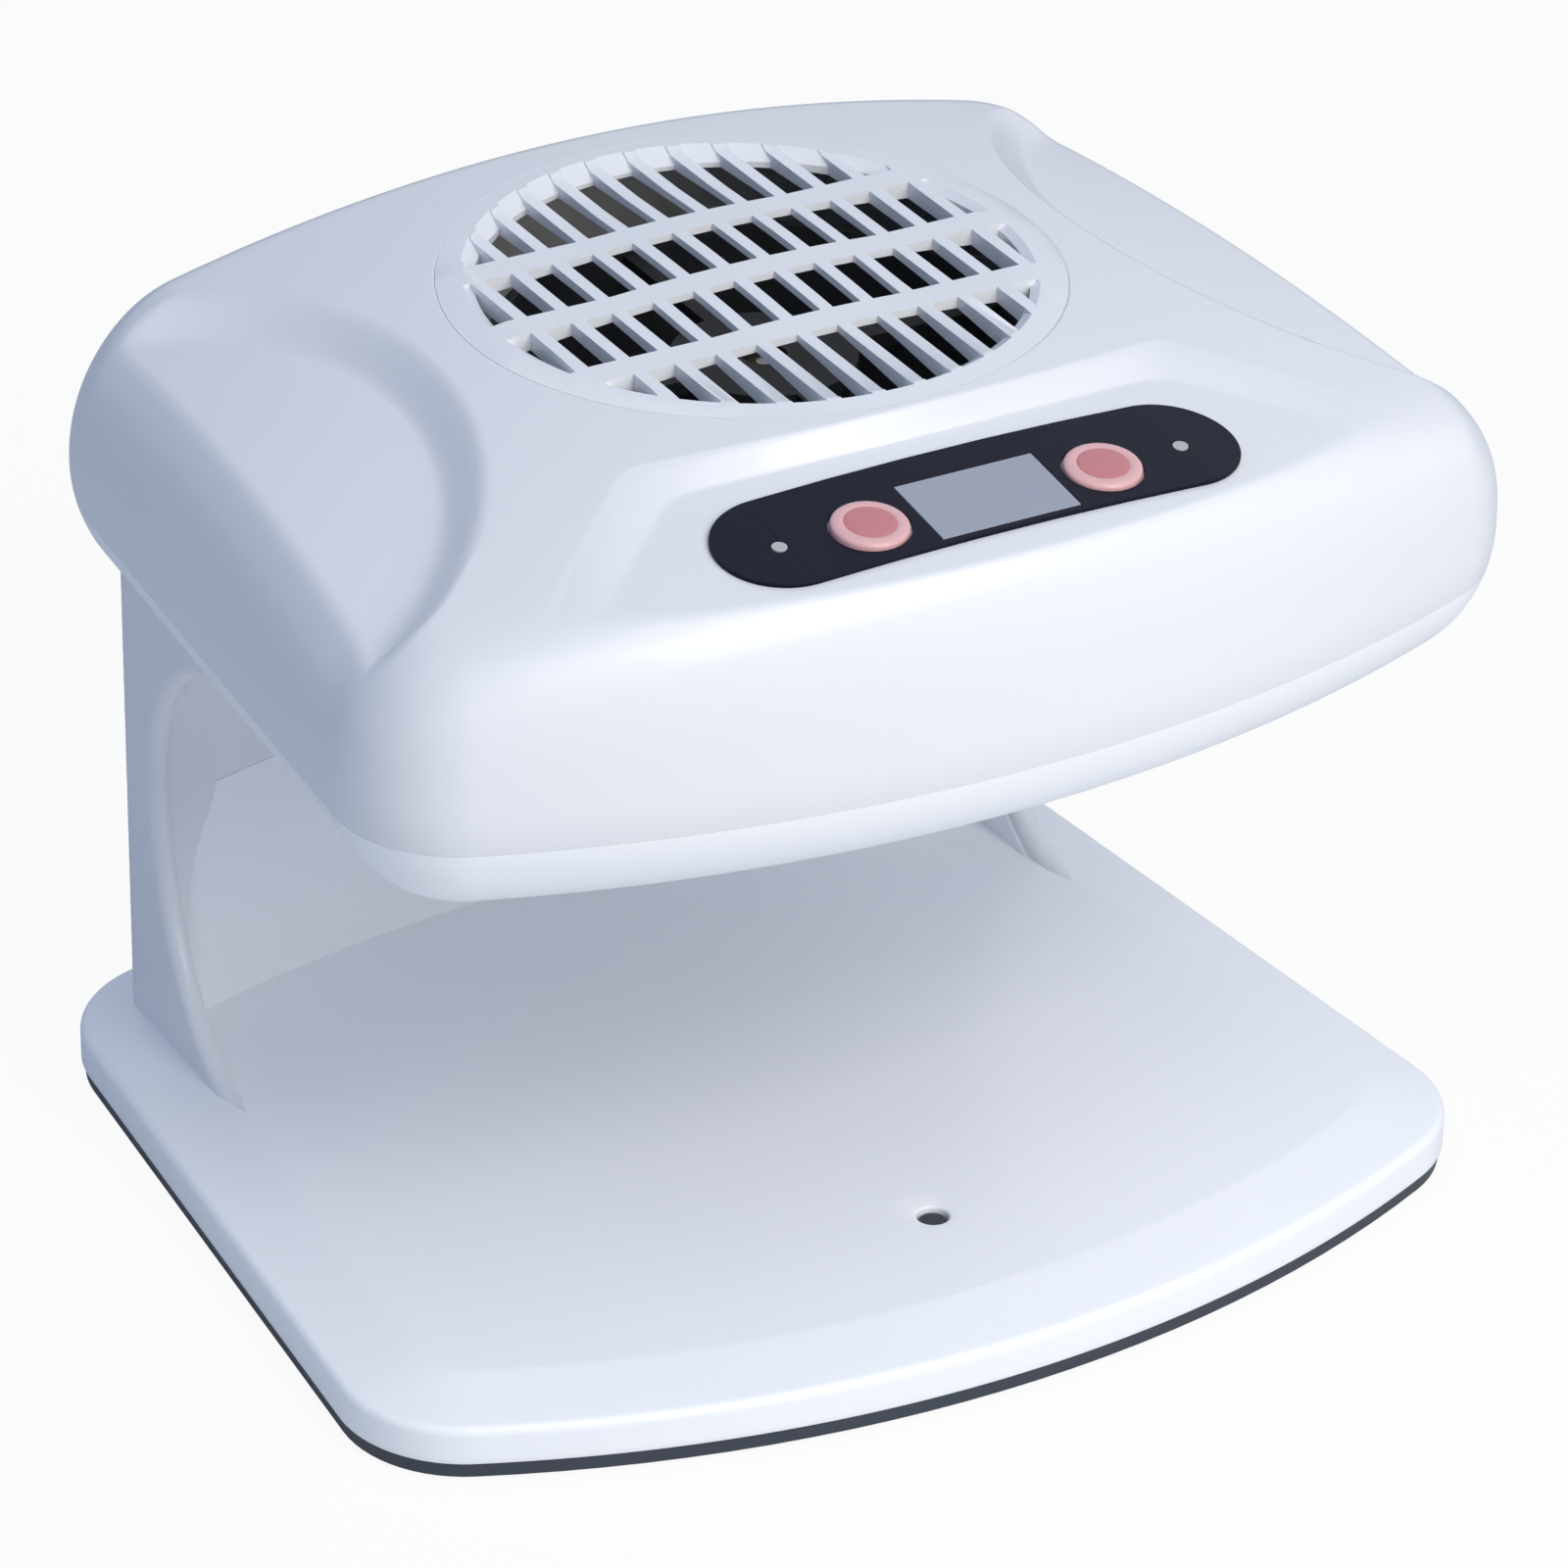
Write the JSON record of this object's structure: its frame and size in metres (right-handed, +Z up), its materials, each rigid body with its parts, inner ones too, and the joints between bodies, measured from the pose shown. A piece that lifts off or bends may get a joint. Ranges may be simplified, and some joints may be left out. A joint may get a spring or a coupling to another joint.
{
  "type": "nail polish fan dryer",
  "caption": "Table-top fan dryer for nail polish: a domed head with an intake grille and push buttons over an open hand space, on a column with two cheeks and a flat base.",
  "frame": {"origin": "on the table under the middle of the overall length and width", "axes": "+X to the right of a person seated in front, +Y to the rear column, +Z up; hands go in from the front, -Y"},
  "size_m": [0.2456, 0.208, 0.1906],
  "materials": {
    "shell": "glossy pale blue-grey ABS",
    "shell_light": "glossy off-white ABS",
    "grille": "glossy off-white ABS",
    "dark_plastic": "matte dark plastic",
    "plate": "matte dark blue-grey plastic",
    "overlay": "gloss printed film, near black",
    "window": "display window",
    "button": "translucent pink",
    "board": "circuit board laminate",
    "component": "moulded component",
    "steel": "plated steel",
    "brass": "sintered bronze",
    "heater_wire": "resistance wire",
    "mica": "mica sheet",
    "lamp": "clear lens",
    "rubber": "soft rubber",
    "lead": "insulated lead"
  },
  "bodies": {
    "housing": {"head_top_shell": "shell", "head_lower_shell": "shell_light", "intake_grille": "grille", "control_overlay": "overlay", "lcd_window": "window", "lcd_module": "component", "control_board": "board", "tact_switch_left": "component", "tact_switch_right": "component", "indicator_left": "lamp", "indicator_right": "lamp", "outlet_grille": "dark_plastic", "fan_duct": "dark_plastic", "motor_bracket": "dark_plastic", "motor_can": "steel", "bearing_upper": "brass", "bearing_lower": "brass", "heater_coil": "heater_wire", "heater_frame": "mica", "thermal_cutout": "steel", "rear_housing": "shell", "column_lining": "shell_light", "base_top_shell": "shell_light", "base_plate": "plate", "foot_front_left": "rubber", "foot_front_right": "rubber", "foot_rear_left": "rubber", "foot_rear_right": "rubber", "column_strut_left": "steel", "column_strut_right": "steel", "power_board": "board", "transformer": "component", "relay": "component", "terminal_block": "component", "sensor_board": "board", "sensor_eye": "lamp", "emitter_board": "board", "emitter_lens": "lamp", "cord_gland": "dark_plastic", "sensor_lead": "lead", "head_screws": "steel", "base_screws": "steel"},
    "fan_rotor": {"fan_shaft": "steel", "impeller": "dark_plastic", "shaft_clip": "steel"},
    "cool_key": {"cool_button": "button", "tact_plunger_left": "component"},
    "hot_key": {"hot_button": "button", "tact_plunger_right": "component"}
  },
  "joints": [
    {"name": "fan_spin", "type": "hinge", "parent": "housing", "child": "fan_rotor", "pos_m": [0, 0, 0.142], "axis": [0, 0, 1], "continuous": true},
    {"name": "cool_press", "type": "slide", "parent": "housing", "child": "cool_key", "axis": [0, 0.1288, -0.9917], "range_m": [0, 0.0006], "stiffness_N_per_m": 3000},
    {"name": "hot_press", "type": "slide", "parent": "housing", "child": "hot_key", "axis": [0, 0.1288, -0.9917], "range_m": [0, 0.0006], "stiffness_N_per_m": 3000}
  ]
}
